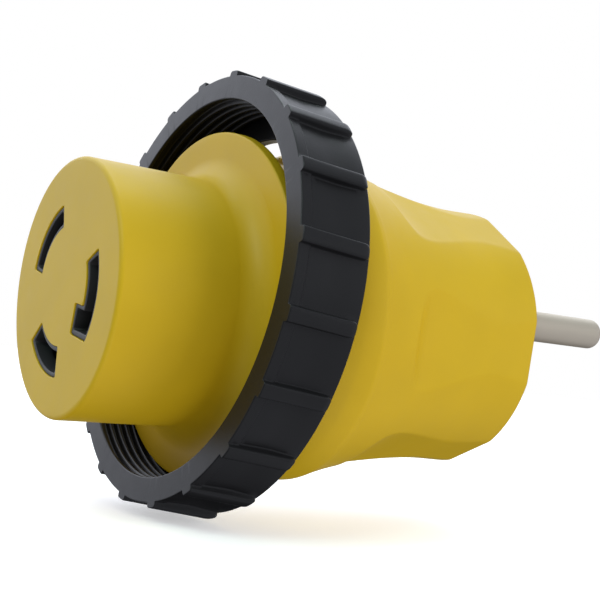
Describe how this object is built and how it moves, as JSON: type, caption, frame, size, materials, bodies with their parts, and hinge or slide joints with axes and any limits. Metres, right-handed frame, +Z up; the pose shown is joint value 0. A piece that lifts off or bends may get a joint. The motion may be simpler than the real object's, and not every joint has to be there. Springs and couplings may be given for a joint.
{
  "type": "recreational vehicle power adapter",
  "caption": "Compact one-piece adapter with a locking female face and threaded locking ring for a trailer inlet, and a straight-blade plug with a round ground pin.",
  "frame": {"origin": "centre of the female face", "axes": "+X from the female face through the body to the plug, +Z up, the ground pin towards -Y"},
  "size_m": [0.109, 0.0789, 0.0793],
  "materials": {
    "body_pvc": "satin moulded yellow PVC with a fine spark texture",
    "ring_nylon": "satin black moulded nylon",
    "core_nylon": "matte black moulded nylon",
    "mould_plastic": "matte natural polypropylene",
    "contact_brass": "rolled brass strip",
    "nickel_plate": "satin nickel plate on brass",
    "screw_steel": "zinc plated steel",
    "jacket_black": "extruded PVC",
    "jacket_white": "extruded PVC",
    "jacket_green": "extruded PVC",
    "wire_copper": "bare stranded copper"
  },
  "bodies": {
    "adapter_body": {"outer_body": "body_pvc", "socket_core": "core_nylon", "socket_core_cover": "core_nylon", "cover_screw_1": "screw_steel", "cover_screw_2": "screw_steel", "cover_screw_3": "screw_steel", "hot_contact": "contact_brass", "neutral_contact": "contact_brass", "ground_contact": "contact_brass", "inner_mould": "mould_plastic", "plug_core": "core_nylon", "hot_blade": "nickel_plate", "neutral_blade": "nickel_plate", "ground_pin": "nickel_plate", "hot_wire_jacket": "jacket_black", "neutral_wire_jacket": "jacket_white", "ground_wire_jacket": "jacket_green", "hot_wire_conductor": "wire_copper", "neutral_wire_conductor": "wire_copper", "ground_wire_conductor": "wire_copper"},
    "ring": {"locking_ring": "ring_nylon"}
  },
  "joints": [
    {"name": "ring_spin", "type": "hinge", "parent": "adapter_body", "child": "ring", "pos_m": [0.02094, -0.00038, 0.00306], "axis": [0.9931, -0.0248, -0.1149], "continuous": true}
  ]
}
